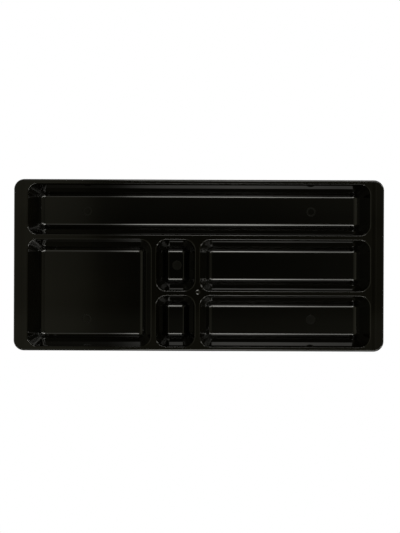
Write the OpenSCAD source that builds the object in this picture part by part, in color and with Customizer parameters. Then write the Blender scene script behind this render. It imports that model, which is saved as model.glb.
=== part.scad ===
// Compartment tray: one moulding with leaning walls and round floor fillets, on push-in rubber feet.
// X runs along the tray, Y to the back, Z up. The origin is under the tray's middle, at the feet.

/* [Tray] */
// Overall length, left to right
tray_l = 356; // [320:1:420]
// Overall width, front to back
tray_w = 165; // [155:1:220]
// Depth of the compartments below the rim
depth = 30; // [24:0.5:40]
// Thickness of floors, walls, rim and skirt
wall = 1.5; // [1.2:0.1:1.8]

/* [Compartments] */
// Distance that each wall leans outwards between floor and rim
lean = 8.75; // [6:0.25:10]
// Radius of the fillet between floor and wall
floor_r = 5; // [3:0.25:6]
// Radius of the compartment corners at the rim
corner_r = 10; // [9:0.25:12]
// Width of the long trough along the back
trough_w = 49; // [36:1:70]
// Length of the large compartment at the front left
large_l = 120; // [60:1:150]
// Length of the cups beside it
cup_l = 38; // [32:1:60]
// Width of the land between two compartments
land = 4.5; // [4.25:0.25:9]
// Rounding of the edge between a land and a wall
land_edge_r = 0.75; // [0.25:0.25:1]

/* [Rim] */
// Width of the rim at each end
end_rim = 12.75; // [11:0.25:20]
// Width of the rim along the front and back
side_rim = 4.5; // [4.25:0.25:10]
// Radius of the tray's outer corners
rim_corner_r = 10; // [6:0.5:14]
// Rounding of the rim's outer edge
rim_edge_r = 2; // [1:0.25:3]
// Height of the skirt that hangs from the rim
skirt_h = 8; // [6:0.5:14]
// Width of the raised band along each end
band_w = 7.75; // [5:0.25:9]
// Height of that band above the rest of the rim
band_h = 0.5; // [0.25:0.25:1.5]
// Diameter of the round gate well where the lands cross
gate_d = 4.5; // [3:0.25:6]
// Depth of the gate well
gate_depth = 0.75; // [0.25:0.05:0.9]

/* [Feet] */
// Distance of the outer feet from the tray's middle, along its length
foot_x = 111; // [60:1:130]
// Diameter of a foot's head
foot_d = 11; // [10.5:0.5:16]
// Height of a foot's head
foot_h = 1.5; // [1.5:0.25:5]
// Rounding of the head's lower edge
foot_edge_r = 0.75; // [0.25:0.25:1.25]
// Outer diameter of the socket under the floor
socket_d = 9; // [8:0.25:10]
// Bore of the socket
socket_bore = 5.5; // [4:0.25:6.5]
// Height of the socket below the floor
socket_h = 2.5; // [2:0.25:6]
// Free space between stem and bore, at the sides and at the stem's end
stem_clearance = 0.05; // [0.02:0.01:0.2]

/* [Hidden] */
$fn = 96;
tray_colour = "#141413";
foot_colour = "#2b2b2b";
overlap = 1;
wall_slope = norm([lean, depth]);
draft_sin = lean / wall_slope;
draft_cos = depth / wall_slope;
// Inset of the floor fillet's centre line from the edge of the opening
fillet_inset = lean + floor_r * draft_cos / (1 + draft_sin);
// The rounding between land and wall meets both of them at this small angle
edge_angle = 8;
// Distance of the rounding's centre line from the land and the wall, and from the edge of the opening
edge_reach = land_edge_r * cos(edge_angle);
edge_outset = edge_reach * (1 - draft_sin) / draft_cos;
floor_z = foot_h + socket_h + wall;
row_w = (tray_w - 2 * side_rim - 2 * land - trough_w) / 2;
x_left = end_rim - tray_l / 2;
x_cup = x_left + large_l + land;
x_right = x_cup + cup_l + land;
y_front = side_rim - tray_w / 2;
y_middle = y_front + row_w + land;
y_back = y_middle + row_w + land;
trough_l = tray_l - 2 * end_rim;
right_l = trough_l - large_l - cup_l - 2 * land;
// Each compartment's front left corner and its size, at the rim
compartments = [
    [[x_left, y_back], [trough_l, trough_w]],
    [[x_left, y_front], [large_l, 2 * row_w + land]],
    [[x_cup, y_front], [cup_l, row_w]],
    [[x_cup, y_middle], [cup_l, row_w]],
    [[x_right, y_front], [right_l, row_w]],
    [[x_right, y_middle], [right_l, row_w]],
];
gate_at = [x_right - land / 2, y_middle - land / 2];
gate_sphere_r = (gate_d * gate_d / 4 + gate_depth * gate_depth) / (2 * gate_depth);
foot_y_back = y_back + trough_w / 2;
foot_y_front = y_front + row_w / 2;
feet = [
    [-foot_x, foot_y_back],
    [foot_x, foot_y_back],
    [-foot_x, foot_y_front],
    [foot_x, foot_y_front],
    [x_cup + cup_l / 2, y_middle + row_w / 2],
];

// A block on a rectangle of this size: its sides follow a section, which turns round each corner.
// The first child is the section across X and the second is the section across Y.
module turned_block(size, corner, low, high) {
    margin = 2 * corner;
    intersection() {
        translate([-margin, 0, 0])
            rotate([90, 0, 90])
            linear_extrude(size.x + 2 * margin)
            children(1);
        translate([0, size.y + margin, 0])
            rotate([90, 0, 0])
            linear_extrude(size.y + 2 * margin)
            children(0);
        union() {
            translate([corner, -margin, low])
                cube([size.x - 2 * corner, size.y + 2 * margin, high - low]);
            translate([-margin, corner, low])
                cube([size.x + 2 * margin, size.y - 2 * corner, high - low]);
        }
    }
    turns = [[corner, corner, 180], [size.x - corner, corner, 270],
             [size.x - corner, size.y - corner, 0], [corner, size.y - corner, 90]];
    for (turn = turns)
        translate([turn[0], turn[1], 0])
            rotate(turn[2])
            rotate_extrude(angle = 90)
            intersection() {
                translate([corner, 0]) mirror([1, 0]) children(0);
                translate([0, low]) square([corner + margin, high - low]);
            }
}

// Section of a compartment that is this wide at the rim, with its floor at zero.
// Grown by the wall, it is the outside of the same compartment.
module compartment_section(span, grow, top) {
    r = floor_r + grow;
    wall_foot = [fillet_inset - r * draft_cos, floor_r - r * draft_sin];
    wall_top = [wall_foot.x - (top - wall_foot.y) * lean / depth, top];
    half = [wall_top, wall_foot, [fillet_inset, floor_r], [fillet_inset, -grow]];
    other_half = [for (i = [3:-1:0]) [span - half[i].x, half[i].y]];
    polygon(concat(half, other_half));
    for (x = [fillet_inset, span - fillet_inset])
        translate([x, floor_r])
            circle(r);
}

module compartment(size, grow, top) {
    turned_block(size, corner_r, -grow - overlap, top) {
        compartment_section(size.x, grow, top);
        compartment_section(size.y, grow, top);
    }
}

// Section of the space above the round edge of an opening this wide
module edge_section(span, low, high) {
    difference() {
        translate([-edge_outset, low]) square([span + 2 * edge_outset, high - low]);
        for (x = [-edge_outset, span + edge_outset])
            translate([x, depth - edge_reach])
                circle(land_edge_r);
    }
}

// Cutter that rounds the edge between the land and the walls of one opening
module edge_rounding(size) {
    low = depth - edge_reach + land_edge_r * draft_sin;
    high = depth + overlap;
    turned_block(size, corner_r, low, high) {
        edge_section(size.x, low, high);
        edge_section(size.y, low, high);
    }
}

// Section of the rim: upright sides and a round upper edge.
module rim_section(span, low, top) {
    edge = top - rim_edge_r;
    translate([0, low]) square([span, edge - low]);
    translate([rim_edge_r, edge - overlap]) square([span - 2 * rim_edge_r, rim_edge_r + overlap]);
    for (x = [rim_edge_r, span - rim_edge_r])
        translate([x, edge])
            circle(rim_edge_r);
}

module rim_block(top) {
    low = depth - skirt_h;
    translate([-tray_l / 2, -tray_w / 2, 0])
        turned_block([tray_l, tray_w], rim_corner_r, low, top) {
            rim_section(tray_l, low, top);
            rim_section(tray_w, low, top);
        }
}

// The space inside the skirt, up to the underside of the rim
module skirt_hollow() {
    inside = [tray_l - 2 * wall, tray_w - 2 * wall];
    low = depth - skirt_h - overlap;
    high = depth - wall;
    translate([-inside.x / 2, -inside.y / 2, 0])
        turned_block(inside, rim_corner_r - wall, low, high) {
            translate([0, low]) square([inside.x, high - low]);
            translate([0, low]) square([inside.y, high - low]);
        }
}

module rim() {
    difference() {
        union() {
            rim_block(depth);
            for (side = [0, 1])
                mirror([side, 0, 0])
                    intersection() {
                        rim_block(depth + band_h);
                        translate([tray_l / 2 - band_w, -tray_w, 0])
                            cube([2 * band_w, 2 * tray_w, depth + 2 * band_h]);
                    }
        }
        skirt_hollow();
    }
}

module tray() {
    color(tray_colour)
        translate([0, 0, floor_z])
        difference() {
            union() {
                rim();
                for (c = compartments)
                    translate([c[0].x, c[0].y, 0])
                        compartment(c[1], wall, depth - wall / 2);
                for (at = feet)
                    translate([at.x, at.y, -wall - socket_h])
                        cylinder(d = socket_d, h = socket_h + wall / 2);
            }
            for (c = compartments)
                translate([c[0].x, c[0].y, 0]) {
                    compartment(c[1], 0, depth + overlap);
                    edge_rounding(c[1]);
                }
            for (at = feet)
                translate([at.x, at.y, -wall - socket_h - overlap])
                    cylinder(d = socket_bore, h = socket_h + overlap);
            translate([gate_at.x, gate_at.y, depth - gate_depth + gate_sphere_r])
                sphere(gate_sphere_r);
        }
}

// A push-in foot: its stem sits in the socket, and the socket's rim bears on its head.
module foot(at) {
    stem_r = socket_bore / 2 - stem_clearance;
    inner_r = foot_d / 2 - foot_edge_r;
    color(foot_colour)
        translate([at.x, at.y, 0])
        rotate_extrude() {
            square([stem_r, foot_h + socket_h - stem_clearance]);
            square([inner_r, foot_h]);
            translate([0, foot_edge_r]) square([foot_d / 2, foot_h - foot_edge_r]);
            translate([inner_r, foot_edge_r])
                intersection() {
                    circle(foot_edge_r);
                    translate([0, -foot_edge_r]) square(2 * foot_edge_r);
                }
        }
}

tray();
foot(feet[0]);  // foot_back_left
foot(feet[1]);  // foot_back_right
foot(feet[2]);  // foot_front_left
foot(feet[3]);  // foot_front_right
foot(feet[4]);  // foot_centre
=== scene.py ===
import math
import bmesh
import bpy
from mathutils import Matrix, Vector


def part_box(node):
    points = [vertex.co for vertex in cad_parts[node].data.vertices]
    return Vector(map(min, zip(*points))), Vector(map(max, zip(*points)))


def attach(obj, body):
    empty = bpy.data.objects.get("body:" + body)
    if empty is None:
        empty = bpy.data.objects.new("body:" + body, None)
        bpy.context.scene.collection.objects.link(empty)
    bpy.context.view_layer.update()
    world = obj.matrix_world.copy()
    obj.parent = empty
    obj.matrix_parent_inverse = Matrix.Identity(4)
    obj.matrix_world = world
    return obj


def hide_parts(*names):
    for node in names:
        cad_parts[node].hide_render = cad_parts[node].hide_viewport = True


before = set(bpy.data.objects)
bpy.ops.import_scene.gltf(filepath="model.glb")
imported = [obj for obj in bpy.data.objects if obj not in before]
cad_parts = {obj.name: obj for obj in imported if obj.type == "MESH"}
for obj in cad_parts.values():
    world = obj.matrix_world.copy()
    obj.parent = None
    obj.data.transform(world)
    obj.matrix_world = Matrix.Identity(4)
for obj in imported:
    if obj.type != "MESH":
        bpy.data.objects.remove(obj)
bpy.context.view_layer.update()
trayLow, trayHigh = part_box("tray")
footNodes = [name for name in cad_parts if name.startswith("foot_")]
mm = 0.001  # meshes are shaped in millimetres and scaled once at the end
mergeDistance = 0.0005  # in millimetres
cutDistance = 0.001
print("frame loaded with", len(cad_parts), "nodes")


def steps(count, start, end):  # even steps after the start, up to the end
    return [start + (end - start) * i / count for i in range(1, count + 1)]


def quarterArc(count, radius):  # how far a quarter turn has gone one way, and has left the other way
    turns = steps(count, 0, math.pi / 2)
    return [(radius * (1 - math.cos(turn)), radius * (1 - math.sin(turn))) for turn in turns]


def addObject(name, data):
    thing = bpy.data.objects.new(name, data)
    bpy.context.scene.collection.objects.link(thing)
    return thing


def addMesh(name, bm):
    mesh = bpy.data.meshes.new(name)
    bm.to_mesh(mesh)
    bm.free()
    return addObject(name, mesh)


# The tray: one black moulding

trayForm = {
    "endRim": 13.36,  # rim width at each end
    "sideRim": 4.38,  # rim width along the front and back
    "land": 5.155,  # between two compartments
    "troughWidth": 48.65,
    "largeLength": 118.37,
    "cupLength": 37.2,
    "depth": 30.0,
    "lean": 8.75,  # run of each wall from rim to floor, on the underside
    "wall": 1.5,
    "openingCorner": 10.0,
    "edgeStart": -0.94,  # the land begins to turn down this far outside the opening
    "section": [  # arcs from the land down to the floor: radius, and slope in degrees at the end
        (0.75, 30.0), (1.8, 60.0), (6.5, 69.15), (22.0, 73.5),
        (1100.0, 73.75), (None, 75.95),  # the wall takes up what is left of the depth
        (5.95, 12.0), (0.25, 0.0),
    ],
    "edgeArcs": 2,  # so many of the first arcs round the edge
    "outerEdge": 0.4,  # share of that rounding on the edges along the tray's front and back
    "cornerEdge": 1.0,  # the corners narrow fully down to this inset
    "cornerTaper": 0.68,  # and by this share below it
    "cornerBlend": 0.5,  # the taper eases out this close to the floor's corner
    "floorCorner": 0.9,  # corner of the flat floor
    "underCorner": 2.4,  # the same, seen from below
    "floorRadius": 5.0,  # floor fillet that the underside follows
    "softTurn": 0.08,  # the polish is softer where a wall turns from the sides by more than this
    "softSteep": 0.6,  # and faces up by less than this
    "rimCorner": 10.0,
    "rimEdge": 2.0,
    "skirtHeight": 8.0,
    "skirtLip": 0.5,
    "underFillet": 0.8,  # inside corners of the underside
    "bandHeight": 0.5,  # the solid's top is this far above the lands
    "bandSlope": {-1: (166.2, 175.4, 0.16), 1: (166.2, 169.2, 0.16)},  # left and right: from, to and rise
    "bandStep": {-1: (170.25, 170.45, 0.08), 1: (170.25, 170.45, 0.08)},
    "bandCuts": (-0.1, 0.0, 0.1, 0.25, 0.5, 0.75, 0.9, 1.0, 1.1),  # across each rise, as shares of its run
    "bandEase": 0.1,  # share of each rise that is rounded at both its ends
    "bandMargin": 1.0,  # faces are cut from this far before a rise
    "bandDrop": 0.01,  # and are lifted from this far below the rim's round edge
    "gateWidth": 4.5,
    "gateDepth": 0.66,
    "gateShift": (0.5, 1.15),  # from the middle of the crossing
    "socketWidth": 9.0,
    "socketBore": 5.5,
    "sinkOuter": 9.0,  # dull round mark in the floor above each socket
    "sinkInner": 5.8,
    "sinkFilled": ["foot_front_right", "foot_centre"],  # dull all over
    "sinkDepth": 0.08,
    "support": 0.25,  # flat strip beside each rounding
    "cornerSteps": 16,
    "edgeSteps": 8,
    "filletSteps": 16,
    "wallLoops": [0.01, 0.12, 0.24, 0.36, 0.48, 0.6, 0.72, 0.84, 0.99, 1.0],  # down each wall from below
    "roundSteps": 48,
}

dullFace = 1  # places in the tray's list of finishes, after the polished one
softFace = 2
landZ = trayHigh.z / mm - trayForm["bandHeight"]
floorZ = landZ - trayForm["depth"]
plateZ = landZ - trayForm["wall"]
underZ = floorZ - trayForm["wall"]
socketZ = trayLow.z / mm
wallTilt = math.atan2(trayForm["depth"], trayForm["lean"])


def middleOf(node):
    low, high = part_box(node)
    middle = (low + high) / (2 * mm)
    return Vector((middle.x, middle.y))


def planOf(left, front, length, width):  # a rectangle in the plane of the rim
    middle = Vector((left + length / 2, front + width / 2))
    return {"middle": middle, "half": Vector((length / 2, width / 2))}


def sideOf(plan, place):  # signs of the quarter of the plan that a place is in
    offset = place - plan["middle"]
    return Vector((math.copysign(1, offset.x), math.copysign(1, offset.y)))


def inside(plan, place):
    offset = place - plan["middle"]
    return abs(offset.x) < plan["half"].x and abs(offset.y) < plan["half"].y


def compartmentPlans(form):  # the six openings, and the middle of the gate well
    left = trayLow.x / mm + form["endRim"]
    right = trayHigh.x / mm - form["endRim"]
    front = trayLow.y / mm + form["sideRim"]
    back = trayHigh.y / mm - form["sideRim"]
    rowWidth = (back - front - form["troughWidth"] - 2 * form["land"]) / 2
    cupLeft = left + form["largeLength"] + form["land"]
    rightLeft = cupLeft + form["cupLength"] + form["land"]
    middleFront = front + rowWidth + form["land"]
    plans = [
        planOf(left, back - form["troughWidth"], right - left, form["troughWidth"]),
        planOf(left, front, form["largeLength"], 2 * rowWidth + form["land"]),
    ]
    for rowFront in (front, middleFront):
        plans.append(planOf(cupLeft, rowFront, form["cupLength"], rowWidth))
        plans.append(planOf(rightLeft, rowFront, right - rightLeft, rowWidth))
    crossing = Vector((rightLeft - form["land"] / 2, middleFront - form["land"] / 2))
    return plans, crossing + Vector(form["gateShift"])


def startRing(bm, plan, inset, z, radius):  # a loop with round corners, inside the plan by the inset
    oldFaces = set(bm.faces)
    verts = bmesh.ops.create_grid(bm, x_segments=1, y_segments=1, size=1.0)["verts"]
    half = plan["half"] - Vector((inset, inset))
    bmesh.ops.scale(bm, vec=(half.x, half.y, 1.0), verts=verts)
    bmesh.ops.translate(bm, vec=(plan["middle"].x, plan["middle"].y, z), verts=verts)
    bmesh.ops.bevel(bm, geom=verts, offset=radius, offset_type="OFFSET", segments=trayForm["cornerSteps"],
                    profile=0.5, affect="VERTICES", clamp_overlap=False, material=-1)
    face = next(f for f in bm.faces if f not in oldFaces)
    for side in [edge for edge in face.edges if edge.calc_length() > radius]:
        share = trayForm["support"] / side.calc_length()
        first, last = side.verts
        bmesh.utils.edge_split(side, first, share)  # keeps the straight sides flat in smooth shading
        bmesh.utils.edge_split(side, last, share / (1 - share))
    edges = list(face.edges)
    bmesh.ops.delete(bm, geom=[face], context="FACES_ONLY")
    return {"plan": plan, "inset": inset, "radius": radius, "first": edges, "edges": edges}


def growRing(bm, ring, inset, z, radius):  # the next loop of the same surface
    made = bmesh.ops.extrude_edge_only(bm, edges=ring["edges"])["geom"]
    ring["edges"] = [g for g in made if isinstance(g, bmesh.types.BMEdge)]
    middle = ring["plan"]["middle"]
    half = ring["plan"]["half"]
    oldReach = ring["inset"] + ring["radius"]
    newReach = inset + radius
    for vert in (g for g in made if isinstance(g, bmesh.types.BMVert)):
        side = sideOf(ring["plan"], vert.co.xy)
        oldCorner = middle + Vector((side.x * (half.x - oldReach), side.y * (half.y - oldReach)))
        newCorner = middle + Vector((side.x * (half.x - newReach), side.y * (half.y - newReach)))
        place = newCorner + (vert.co.xy - oldCorner) * radius / ring["radius"]
        vert.co = (place.x, place.y, z)
    ring["inset"] = inset
    ring["radius"] = radius


def startCircle(bm, middle, radius, z):
    place = Matrix.Translation((middle.x, middle.y, z))
    verts = bmesh.ops.create_circle(bm, cap_ends=False, radius=radius, segments=trayForm["roundSteps"],
                                    matrix=place)["verts"]
    edges = list({edge for vert in verts for edge in vert.link_edges})
    return {"middle": middle, "first": edges, "edges": edges}


def growCircle(bm, circle, radius, z):
    made = bmesh.ops.extrude_edge_only(bm, edges=circle["edges"])["geom"]
    circle["edges"] = [g for g in made if isinstance(g, bmesh.types.BMEdge)]
    for vert in (g for g in made if isinstance(g, bmesh.types.BMVert)):
        place = circle["middle"] + (vert.co.xy - circle["middle"]).normalized() * radius
        vert.co = (place.x, place.y, z)


def closeFlat(bm, edges):  # a flat face with holes, between loops in one plane
    bmesh.ops.triangle_fill(bm, use_beauty=True, use_dissolve=False, edges=edges, normal=(0, 0, 1))


def sectionLevels(form):  # inset and drop from the land down to the floor, along a row of arcs
    arcs = []
    tilt = 0.0
    for radius, endDegrees in form["section"]:
        arcs.append([radius, tilt, math.radians(endDegrees)])
        tilt = arcs[-1][2]
    spare = form["depth"] - sum(r * abs(math.cos(a) - math.cos(b)) for r, a, b in arcs if r)
    inset = form["edgeStart"]
    drop = 0.0
    levels = []
    for radius, start, end in arcs:
        if radius is None:  # the wall itself
            radius = spare / (math.cos(start) - math.cos(end))
        for turn in steps(form["edgeSteps"], start, end):
            levels.append((inset + radius * abs(math.sin(turn) - math.sin(start)),
                           drop + radius * abs(math.cos(turn) - math.cos(start))))
        inset, drop = levels[-1]
    return levels


def cornerRadius(form, inset, smallest):  # a plain turn at the opening, then a slow taper down the wall
    edge = form["cornerEdge"]
    cone = form["openingCorner"] - min(inset, edge) - max(inset - edge, 0.0) * form["cornerTaper"]
    blend = form["cornerBlend"]
    if abs(cone - smallest) > blend:
        return max(cone, smallest)
    return smallest + (cone - smallest + blend) ** 2 / (4 * blend)


def tightenOuterEdge(form, plan, verts, levels):  # less rounding along the tray's front and back
    lastInset, lastDrop = levels[form["edgeArcs"] * form["edgeSteps"] - 1]
    lastTilt = math.radians(form["section"][form["edgeArcs"] - 1][1])
    apex = lastInset - lastDrop / math.tan(lastTilt)  # where the end of the rounding points to on the land
    reach = form["openingCorner"]
    outerY = trayHigh.y / mm - form["sideRim"]
    for vert in verts:
        drop = landZ - vert.co.z
        side = sideOf(plan, vert.co.xy)
        edgeY = abs(plan["middle"].y + side.y * plan["half"].y)
        if drop > lastDrop + mergeDistance or edgeY < outerY - form["land"]:
            continue
        offset = vert.co.xy - plan["middle"]
        away = Vector([max(abs(offset[i]) - plan["half"][i] + reach, 0.0) for i in (0, 1)])
        inset = reach - away.length
        away.normalize()
        share = 1 - (1 - form["outerEdge"]) * away.y ** 2  # fades out round the corners
        shift = (1 - share) * (inset - apex)
        vert.co.x += side.x * away.x * shift
        vert.co.y += side.y * away.y * shift
        vert.co.z = landZ - share * drop


def makeWell(bm, form, plan, marks):  # the inside of one compartment
    oldFaces = set(bm.faces)
    levels = sectionLevels(form)
    edgeStart = form["edgeStart"]
    support = form["support"]
    ring = startRing(bm, plan, edgeStart - support, landZ, form["openingCorner"] - edgeStart + support)
    growRing(bm, ring, edgeStart, landZ, form["openingCorner"] - edgeStart)
    for inset, drop in levels:
        growRing(bm, ring, inset, landZ - drop, cornerRadius(form, inset, form["floorCorner"]))
    growRing(bm, ring, levels[-1][0] + support, floorZ, form["floorCorner"])
    wellFaces = [face for face in bm.faces if face not in oldFaces]
    tightenOuterEdge(form, plan, {vert for face in wellFaces for vert in face.verts}, levels)
    for face in wellFaces:
        face.normal_update()
        turned = min(abs(face.normal.x), abs(face.normal.y)) > form["softTurn"]
        if turned and abs(face.normal.z) < form["softSteep"]:
            face.material_index = softFace
    floorEdges = list(ring["edges"])
    for node, middle in marks:
        floorEdges += makeSinkRing(bm, form, middle, node in form["sinkFilled"])
    closeFlat(bm, floorEdges)
    return ring["first"]


def makeSinkRing(bm, form, middle, filled):  # a dull mark with a furrow, where the socket below shrank
    oldFaces = set(bm.faces)
    outer = form["sinkOuter"] / 2
    inner = form["sinkInner"] / 2
    circle = startCircle(bm, middle, outer + form["support"], floorZ)
    growCircle(bm, circle, outer, floorZ)
    for part in steps(form["edgeSteps"], 0, 1):
        drop = form["sinkDepth"] * (1 - math.cos(2 * math.pi * part)) / 2
        growCircle(bm, circle, outer + (inner - outer) * part, floorZ - drop)
    dullFaces = [face for face in bm.faces if face not in oldFaces]
    growCircle(bm, circle, inner - form["support"], floorZ)
    bmesh.ops.edgeloop_fill(bm, edges=circle["edges"])
    if filled:
        dullFaces = [face for face in bm.faces if face not in oldFaces]
    for face in dullFaces:
        face.material_index = dullFace
    return circle["first"]


def makeShell(bm, form, plan, marks):  # the outside of one compartment, seen from below
    wallRun = form["wall"] / math.sin(wallTilt)
    corner = form["openingCorner"]
    under = form["underFillet"]
    support = form["support"] / 2
    joinZ = plateZ - under * (1 - math.cos(wallTilt))
    joinInset = (landZ - joinZ) / math.tan(wallTilt) - wallRun
    underStart = joinInset - under * math.sin(wallTilt)
    ring = startRing(bm, plan, underStart - support, plateZ, corner - underStart + support)
    growRing(bm, ring, underStart, plateZ, corner - underStart)
    for tilt in steps(form["edgeSteps"], 0, wallTilt):
        inset = underStart + under * math.sin(tilt)
        growRing(bm, ring, inset, plateZ - under * (1 - math.cos(tilt)), corner - inset)
    fillet = form["floorRadius"] + form["wall"]
    filletInset = (landZ - underZ - fillet) / math.tan(wallTilt) - wallRun + fillet / math.sin(wallTilt)
    footInset = filletInset - fillet * math.sin(wallTilt)
    for part in form["wallLoops"]:
        inset = joinInset + (footInset - joinInset) * part
        z = joinZ - (inset - joinInset) * math.tan(wallTilt)
        growRing(bm, ring, inset, z, cornerRadius(form, inset, form["underCorner"]))
    for tilt in steps(form["filletSteps"], wallTilt, 0):
        inset = filletInset - fillet * math.sin(tilt)
        z = underZ + fillet * (1 - math.cos(tilt))
        growRing(bm, ring, inset, z, cornerRadius(form, inset, form["underCorner"]))
    growRing(bm, ring, filletInset + form["support"], underZ, form["underCorner"])
    floorEdges = list(ring["edges"])
    for node, middle in marks:
        floorEdges += makeSocket(bm, form, middle)
    closeFlat(bm, floorEdges)
    return ring["first"]


def makeSocket(bm, form, middle):  # a short tube under the floor, which holds a foot's stem
    count = form["edgeSteps"]
    outer = form["socketWidth"] / 2
    bore = form["socketBore"] / 2
    lip = form["skirtLip"] / 2
    root = form["underFillet"] / 2
    circle = startCircle(bm, middle, outer + root + form["support"], underZ)
    growCircle(bm, circle, outer + root, underZ)
    for gone, left in quarterArc(count, root):
        growCircle(bm, circle, outer + left, underZ - gone)
    for gone, left in quarterArc(count, lip):
        growCircle(bm, circle, outer - gone, socketZ + left)
    for gone, left in quarterArc(count, lip):
        growCircle(bm, circle, bore + left, socketZ + gone)
    growCircle(bm, circle, bore, underZ)
    bmesh.ops.edgeloop_fill(bm, edges=circle["edges"])
    return circle["first"]


def makeRim(bm, form, plan):  # outer edge and skirt, from the land round to the underside of the rim
    count = form["edgeSteps"]
    corner = form["rimCorner"]
    edge = form["rimEdge"]
    lip = form["skirtLip"]
    under = form["underFillet"]
    wall = form["wall"]
    support = form["support"]
    skirtZ = landZ - form["skirtHeight"]
    ring = startRing(bm, plan, edge + support, landZ, corner - edge - support)
    growRing(bm, ring, edge, landZ, corner - edge)
    for gone, left in quarterArc(count, edge):
        growRing(bm, ring, left, landZ - gone, corner - left)
    for gone, left in quarterArc(count, lip):
        growRing(bm, ring, gone, skirtZ + left, corner - gone)
    for gone, left in quarterArc(count, lip):
        growRing(bm, ring, wall - left, skirtZ + gone, corner - wall + left)
    for gone, left in quarterArc(count, under):
        growRing(bm, ring, wall + gone, plateZ - left, corner - wall - gone)
    growRing(bm, ring, wall + under + support, plateZ, corner - wall - under - support)
    return ring


def makeGateWell(bm, form, middle):  # round dimple where the lands cross
    reach = form["gateWidth"] / 2
    drop = form["gateDepth"]
    sphere = (reach * reach + drop * drop) / (2 * drop)
    opening = math.asin(reach / sphere)
    circle = startCircle(bm, middle, reach + form["support"] / 2, landZ)
    growCircle(bm, circle, reach, landZ)
    for turn in steps(form["edgeSteps"], opening, opening / form["edgeSteps"]):
        growCircle(bm, circle, sphere * math.sin(turn), landZ + sphere * (math.cos(opening) - math.cos(turn)))
    bmesh.ops.edgeloop_fill(bm, edges=circle["edges"])
    return circle["first"]


def easedShare(part, ease):  # a straight rise from 0 to 1, with a short round part at both its ends
    part = min(max(part, 0.0), 1.0)
    if part < ease:
        return part * part / (2 * ease * (1 - ease))
    if part > 1 - ease:
        return 1 - (1 - part) ** 2 / (2 * ease * (1 - ease))
    return (part - ease / 2) / (1 - ease)


def raiseEndBands(bm, form):  # each end of the rim slopes up from the openings, and has a fine step
    topZ = landZ - form["rimEdge"] - form["bandDrop"]
    rises = [(side, *form[band][side]) for band in ("bandSlope", "bandStep") for side in (-1, 1)]
    for side, near, far, rise in rises:
        for part in form["bandCuts"]:
            verts = [v for v in bm.verts if v.co.z > topZ and side * v.co.x > near - form["bandMargin"]]
            faces = {f for v in verts for f in v.link_faces if all(w.co.z > topZ for w in f.verts)}
            edges = {e for f in faces for e in f.edges}
            verts = {v for f in faces for v in f.verts}
            bmesh.ops.bisect_plane(bm, geom=[*verts, *edges, *faces], dist=cutDistance,
                                   plane_co=(side * (near + part * (far - near)), 0, 0), plane_no=(1, 0, 0))
    for vert in bm.verts:
        if vert.co.z > topZ:
            for side, near, far, rise in rises:
                vert.co.z += rise * easedShare((side * vert.co.x - near) / (far - near), form["bandEase"])


def finishPiece(bm, name, materials, node):
    bmesh.ops.remove_doubles(bm, verts=bm.verts, dist=mergeDistance)
    bmesh.ops.recalc_face_normals(bm, faces=bm.faces)
    bmesh.ops.scale(bm, vec=(mm, mm, mm), verts=bm.verts)
    for face in bm.faces:
        face.smooth = True
    piece = addMesh(name, bm)
    for material in materials:
        piece.data.materials.append(material)
    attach(piece, "root")
    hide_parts(node)
    return piece


def makeTray(form, materials):
    bm = bmesh.new()
    plans, gateMiddle = compartmentPlans(form)
    footMiddles = [(node, middleOf(node)) for node in footNodes]
    length = (trayHigh.x - trayLow.x) / mm
    width = (trayHigh.y - trayLow.y) / mm
    rim = makeRim(bm, form, planOf(trayLow.x / mm, trayLow.y / mm, length, width))
    landEdges = list(rim["first"])
    plateEdges = list(rim["edges"])
    for plan in plans:
        here = [mark for mark in footMiddles if inside(plan, mark[1])]
        landEdges += makeWell(bm, form, plan, here)
        plateEdges += makeShell(bm, form, plan, here)
    landEdges += makeGateWell(bm, form, gateMiddle)
    closeFlat(bm, landEdges)
    closeFlat(bm, plateEdges)
    raiseEndBands(bm, form)
    return finishPiece(bm, "trayMoulding", materials, "tray")


# The feet: push-in rubber studs

footForm = {
    "recess": 0.3,  # hollow in the middle of the tread
    "recessWidth": 4.4,
    "grooves": [6.0, 7.6],  # ring grooves in the tread
    "grooveDepth": 0.2,
    "grooveWidth": 0.4,
    "edge": 0.75,
    "topEdge": 0.2,
    "stemWidth": 5.4,
    "stemEdge": 0.5,
    "spinSteps": 48,
    "edgeSteps": 6,
}


def footProfile(form, headRadius, headHeight, height):  # radius and height, from tread to stem
    count = form["edgeSteps"]
    recess = form["recess"]
    stem = form["stemWidth"] / 2
    half = form["grooveWidth"] / 2
    deep = form["grooveDepth"]
    groove = [(-half, 0), (-half / 2, deep), (half / 2, deep), (half, 0)]
    points = [(0, recess), (form["recessWidth"] / 2 - recess, recess), (form["recessWidth"] / 2, 0)]
    for width in form["grooves"]:
        points += [(width / 2 + shift, rise) for shift, rise in groove]
    points.append((headRadius - form["edge"], 0))
    points += [(headRadius - left, gone) for gone, left in quarterArc(count, form["edge"])]
    points += [(headRadius - gone, headHeight - left) for gone, left in quarterArc(count, form["topEdge"])]
    points.append((stem, headHeight))
    points += [(stem - gone, height - left) for gone, left in quarterArc(count, form["stemEdge"])]
    points.append((0, height))
    return points


def makeFoot(form, node, material):
    low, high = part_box(node)
    middle = middleOf(node)
    headRadius = (high.x - low.x) / (2 * mm)
    bm = bmesh.new()
    profile = footProfile(form, headRadius, socketZ, high.z / mm)
    tip = bm.verts.new((middle.x + profile[0][0], middle.y, profile[0][1]))
    for radius, z in profile[1:]:
        tip = bmesh.ops.extrude_vert_indiv(bm, verts=[tip])["verts"][0]
        tip.co = (middle.x + radius, middle.y, z)
    bmesh.ops.spin(bm, geom=bm.verts[:] + bm.edges[:], cent=(middle.x, middle.y, 0), axis=(0, 0, 1),
                   angle=2 * math.pi, steps=form["spinSteps"], use_merge=True)
    return finishPiece(bm, node + "Rubber", [material], node)


# Finishes

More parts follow.
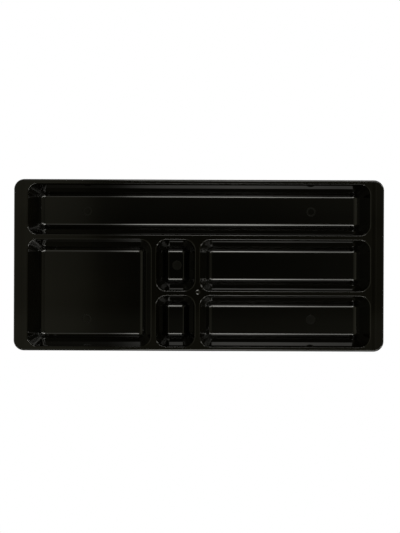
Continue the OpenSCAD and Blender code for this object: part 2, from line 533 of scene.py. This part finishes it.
ripplePattern = {
    "waveDetail": 1.0,
    "skinDetail": 3.0,
}
scuffPattern = {
    "patchDetail": 4.0,
    "patchRange": (0.42, 0.72),  # noise where rubbing begins, and where it is full
    "scratchDetail": 2.0,
    "scratchRange": (0.64, 0.74),
    "scratchTurn": 24.0,  # degrees
    "scratchStretch": 14.0,
}
plasticFinish = {
    "colour": (0.0013, 0.0011, 0.0005, 1.0),
    "scuffColour": (0.0028, 0.0025, 0.0016, 1.0),
    "roughness": (0.015, 0.03),  # polished, and where it is scuffed
    "ior": 1.5,
    "bump": 0.01,
    "scuffs": {"Patch Scale": 22.0, "Scratch Scale": 30.0, "Amount": 0.5},
    "ripple": {"Wave Scale": 40.0, "Skin Scale": 700.0, "Skin Share": 0.02},
}
dullFinish = dict(plasticFinish, roughness=(0.30, 0.38))  # the marks over the sockets
softFinish = dict(plasticFinish, roughness=(0.19, 0.22))  # the corners of the walls
rubberFinish = {
    "colour": (0.020, 0.020, 0.020, 1.0),
    "scuffColour": (0.050, 0.049, 0.047, 1.0),
    "roughness": (0.65, 0.85),
    "ior": 1.5,
    "bump": 0.25,
    "scuffs": {"Patch Scale": 300.0, "Scratch Scale": 400.0, "Amount": 0.8},
    "ripple": {"Wave Scale": 300.0, "Skin Scale": 2500.0, "Skin Share": 0.7},
}


def setValues(node, values):
    for socket, value in values.items():
        node.inputs[socket].default_value = value
    return node


def addNode(tree, kind, values=None):
    return setValues(tree.nodes.new(kind), values or {})


def placeGroup(tree, group, values):
    node = addNode(tree, "ShaderNodeGroup")
    node.node_tree = group
    return setValues(node, values)


def join(tree, source, output, target, socket):
    tree.links.new(source.outputs[output], target.inputs[socket])


def newMaterial(name):
    material = bpy.data.materials.new(name)
    material.use_nodes = True
    return material, material.node_tree


def newGroup(name, inputs, output):
    group = bpy.data.node_groups.new(name, "ShaderNodeTree")
    for socket in inputs:
        group.interface.new_socket(socket, in_out="INPUT", socket_type="NodeSocketFloat")
    group.interface.new_socket(output, in_out="OUTPUT", socket_type="NodeSocketFloat")
    return group, group.nodes.new("NodeGroupInput"), group.nodes.new("NodeGroupOutput")


def makeRippleGroup(form):  # slow waves and a fine skin, as left by a polished mould
    group, inputs, outputs = newGroup("mouldRipple", ("Wave Scale", "Skin Scale", "Skin Share"), "Height")
    place = addNode(group, "ShaderNodeTexCoord")
    blend = addNode(group, "ShaderNodeMix")
    for part, scale, side in (("wave", "Wave Scale", "A"), ("skin", "Skin Scale", "B")):
        noise = addNode(group, "ShaderNodeTexNoise", {"Detail": form[part + "Detail"]})
        join(group, place, "Object", noise, "Vector")
        join(group, inputs, scale, noise, "Scale")
        join(group, noise, "Fac", blend, side)
    join(group, inputs, "Skin Share", blend, "Factor")
    join(group, blend, "Result", outputs, "Height")
    return group


def makeScuffGroup(form):  # patches of fine rubbing, and thin scratches across them
    group, inputs, outputs = newGroup("handlingScuffs", ("Patch Scale", "Scratch Scale", "Amount"), "Mask")
    place = addNode(group, "ShaderNodeTexCoord")
    stretch = addNode(group, "ShaderNodeMapping", {
        "Rotation": (0.0, 0.0, math.radians(form["scratchTurn"])),
        "Scale": (1.0, form["scratchStretch"], 1.0),
    })
    share = addNode(group, "ShaderNodeMath")
    share.operation = "MAXIMUM"
    scaled = addNode(group, "ShaderNodeMath")
    scaled.operation = "MULTIPLY"
    join(group, place, "Object", stretch, "Vector")
    parts = (("patch", "Patch Scale", place, "Object"), ("scratch", "Scratch Scale", stretch, "Vector"))
    for index, (part, scale, source, output) in enumerate(parts):
        low, high = form[part + "Range"]
        noise = addNode(group, "ShaderNodeTexNoise", {"Detail": form[part + "Detail"]})
        rubbed = addNode(group, "ShaderNodeMapRange", {"From Min": low, "From Max": high})
        join(group, source, output, noise, "Vector")
        join(group, inputs, scale, noise, "Scale")
        join(group, noise, "Fac", rubbed, "Value")
        join(group, rubbed, "Result", share, index)
    join(group, share, "Value", scaled, 0)
    join(group, inputs, "Amount", scaled, 1)
    join(group, scaled, "Value", outputs, "Mask")
    return group


def makeFinish(name, finish, ripple, scuffs):
    material, tree = newMaterial(name)
    shader = tree.nodes["Principled BSDF"]
    shader.inputs["IOR"].default_value = finish["ior"]
    scuff = placeGroup(tree, scuffs, finish["scuffs"])
    colour = addNode(tree, "ShaderNodeMix")
    colour.data_type = "RGBA"
    setValues(colour, {"A": finish["colour"], "B": finish["scuffColour"]})
    join(tree, scuff, "Mask", colour, "Factor")
    join(tree, colour, "Result", shader, "Base Color")
    smooth, rubbed = finish["roughness"]
    rough = addNode(tree, "ShaderNodeMapRange", {"To Min": smooth, "To Max": rubbed})
    join(tree, scuff, "Mask", rough, "Value")
    join(tree, rough, "Result", shader, "Roughness")
    skin = placeGroup(tree, ripple, finish["ripple"])
    bump = addNode(tree, "ShaderNodeBump", {"Strength": finish["bump"], "Distance": mm})
    join(tree, skin, "Height", bump, "Height")
    join(tree, bump, "Normal", shader, "Normal")
    return material


ripple = makeRippleGroup(ripplePattern)
scuffs = makeScuffGroup(scuffPattern)
plastic = makeFinish("blackPlastic", plasticFinish, ripple, scuffs)
dullPlastic = makeFinish("dullPlastic", dullFinish, ripple, scuffs)
softPlastic = makeFinish("softPlastic", softFinish, ripple, scuffs)
rubber = makeFinish("greyRubber", rubberFinish, ripple, scuffs)
print("finishes made")
tray = makeTray(trayForm, [plastic, dullPlastic, softPlastic])
print("tray has", len(tray.data.polygons), "faces")
feet = [makeFoot(footForm, node, rubber) for node in footNodes]
print("feet made:", len(feet))

# Stage: pale floor, two soft boxes in a dim room

white = (1.0, 1.0, 1.0, 1.0)
stageForm = {
    "floorSize": 6.0,
    "floorGlow": 1.0,  # as the camera sees it
    "floorBounce": 0.45,  # as the object sees it
    "boxSide": 0.863,  # soft boxes beside the tray, from its middle
    "boxRise": 0.850,  # above the rim
    "boxLength": 2.25,
    "boxShift": 0.755,
    "boxLift": {-1: 0.0, 1: 0.0068},  # along its own plane, front and back
    "boxColour": (1.0, 0.99, 0.93),
    "boxParts": {  # two strips in each box, dimmed along their length
        "Wide": {
            "lift": -0.1028,
            "height": 0.246,
            "radiance": 13.0,
            "along": [  # left to right: place and level
                (-0.37, 0.04), (-0.21, 0.07), (-0.178, 0.19), (-0.154, 0.42), (-0.128, 0.62),
                (-0.103, 0.72), (-0.074, 0.76), (-0.025, 0.8), (0.074, 1.0), (0.123, 0.95),
                (0.21, 0.62), (0.295, 0.4), (0.37, 0.5), (0.58, 0.6), (0.74, 0.6),
                (0.86, 0.12), (1.19, 0.12), (1.34, 1.0), (1.88, 1.5),
            ],
        },
        "Thin": {
            "lift": 0.2025,
            "height": 0.0525,
            "radiance": 5.2,
            "along": [
                (-0.37, 0.03), (-0.21, 0.07), (-0.178, 0.17), (-0.154, 0.36), (-0.128, 0.56),
                (-0.103, 0.66), (-0.074, 0.74), (-0.025, 0.8), (0.074, 1.0), (0.123, 1.0),
                (0.21, 0.92), (0.32, 0.7), (0.39, 0.8), (0.56, 1.8), (0.77, 1.8),
                (0.86, 0.2), (1.19, 0.2), (1.34, 1.0), (1.88, 1.5),
            ],
        },
    },
    "roomColour": (1.0, 0.97, 0.72),
    "roomAlong": [  # by direction, left to right
        (-1.0, 0.30), (-0.7, 0.27), (-0.4, 0.14), (-0.24, 0.12), (-0.19, 0.17), (-0.147, 0.165),
        (-0.122, 0.13), (-0.11, 0.09), (-0.098, 0.05), (-0.07, 0.03), (0.06, 0.035), (0.155, 0.065),
        (0.5, 0.12), (1.0, 0.15),
    ],
    "roomAcross": [  # front to back, added to that
        (-1.0, 0.04), (-0.057, 0.05), (-0.04, 0.0), (0.045, 0.0), (0.06, 0.025), (1.0, 0.03),
    ],
    "backdrop": 1.0,
}


def showBehind(tree, room, backdrop, output):  # the camera sees the backdrop, and reflections see the room
    rays = addNode(tree, "ShaderNodeLightPath")
    blend = addNode(tree, "ShaderNodeMixShader")
    join(tree, rays, "Is Camera Ray", blend, "Fac")
    join(tree, room, 0, blend, 1)
    join(tree, backdrop, 0, blend, 2)
    join(tree, blend, "Shader", tree.nodes[output], "Surface")


def makeFloor(form):
    bm = bmesh.new()
    bmesh.ops.create_grid(bm, x_segments=1, y_segments=1, size=form["floorSize"] / 2)
    floor = addMesh("paleFloor", bm)
    material, tree = newMaterial("paleFloor")
    tree.nodes.remove(tree.nodes["Principled BSDF"])
    bounce = addNode(tree, "ShaderNodeEmission", {"Color": white, "Strength": form["floorBounce"]})
    glow = addNode(tree, "ShaderNodeEmission", {"Color": white, "Strength": form["floorGlow"]})
    showBehind(tree, bounce, glow, "Material Output")
    floor.data.materials.append(material)


def addRamp(tree, stops, low, high):  # a ramp whose stops lie between two values
    ramp = addNode(tree, "ShaderNodeValToRGB")
    marks = ramp.color_ramp.elements
    ramp.color_ramp.interpolation = "LINEAR"
    for index, (where, level) in enumerate(stops):
        place = (where - low) / (high - low)
        mark = marks[index] if index < len(marks) else marks.new(place)
        mark.position = place
        mark.color = (level, level, level, 1.0)
    return ramp


def makeAreaLight(name, place, target, length, height, radiance):
    light = bpy.data.lights.new(name, "AREA")
    light.shape = "RECTANGLE"
    light.size = length
    light.size_y = height
    light.energy = radiance * math.pi * length * height
    away = (Vector(place) - Vector(target)).normalized()
    across = Vector((1, 0, 0))
    up = away.cross(across).normalized()
    turn = Matrix((across, up, across.cross(up))).transposed()
    addObject(name, light).matrix_world = Matrix.Translation(place) @ turn.to_4x4()
    return light


def fadeLight(light, along):  # dims a light along its length
    light.use_nodes = True
    tree = light.node_tree
    place = addNode(tree, "ShaderNodeNewGeometry")
    split = addNode(tree, "ShaderNodeSeparateXYZ")
    ramp = addRamp(tree, along, 0.0, 1.0)
    join(tree, place, "Parametric", split, "Vector")
    join(tree, split, "X", ramp, "Fac")
    join(tree, ramp, "Color", tree.nodes["Emission"], "Strength")


def makeLights(form):
    rim = landZ * mm
    shift = form["boxShift"]
    length = form["boxLength"]
    slant = math.hypot(form["boxSide"], form["boxRise"])
    left = shift - length / 2
    for side, name in ((-1, "front"), (1, "back")):
        for part, box in form["boxParts"].items():
            lift = (form["boxLift"][side] + box["lift"]) / slant
            y = side * (form["boxSide"] - lift * form["boxRise"])
            z = rim + form["boxRise"] + lift * form["boxSide"]
            light = makeAreaLight(name + part, (shift, y, z), (shift, 0, rim), length, box["height"],
                                  box["radiance"])
            light.color = form["boxColour"]
            fadeLight(light, [((x - left) / length, level) for x, level in box["along"]])


def makeRoom(form):  # dim in the middle, brighter at the sides, and white behind the object
    world = bpy.data.worlds.new("dimRoom")
    world.use_nodes = True
    tree = world.node_tree
    place = addNode(tree, "ShaderNodeTexCoord")
    split = addNode(tree, "ShaderNodeSeparateXYZ")
    total = addNode(tree, "ShaderNodeMath")
    join(tree, place, "Generated", split, "Vector")
    for index, (axis, stops) in enumerate((("X", form["roomAlong"]), ("Y", form["roomAcross"]))):
        spread = addNode(tree, "ShaderNodeMapRange", {"From Min": -1.0})
        ramp = addRamp(tree, stops, -1.0, 1.0)
        join(tree, split, axis, spread, "Value")
        join(tree, spread, "Result", ramp, "Fac")
        join(tree, ramp, "Color", total, index)
    room = tree.nodes["Background"]
    room.inputs["Color"].default_value = (*form["roomColour"], 1.0)
    join(tree, total, "Value", room, "Strength")
    backdrop = addNode(tree, "ShaderNodeBackground", {"Color": white, "Strength": form["backdrop"]})
    showBehind(tree, room, backdrop, "World Output")
    bpy.context.scene.world = world


# Camera straight above, as the photograph was taken

cameraForm = {
    "offset": (0.0011, -0.0011),
    "rise": 0.95,  # above the rim
    "lens": 66.785,
    "sensor": 36.0,
    "turn": 0.23,  # degrees
    "clipStart": 0.01,
}


def makeCamera(form):
    camera = bpy.data.cameras.new("topCamera")
    camera.lens = form["lens"]
    camera.sensor_width = form["sensor"]
    camera.clip_start = form["clipStart"]
    body = addObject("topCamera", camera)
    body.location = (form["offset"][0], form["offset"][1], landZ * mm + form["rise"])
    body.rotation_euler = (0, 0, math.radians(form["turn"]))
    bpy.context.scene.camera = body


makeFloor(stageForm)
makeLights(stageForm)
makeRoom(stageForm)
makeCamera(cameraForm)
bpy.context.scene.view_settings.view_transform = "Standard"
print("stage, lights and camera ready")
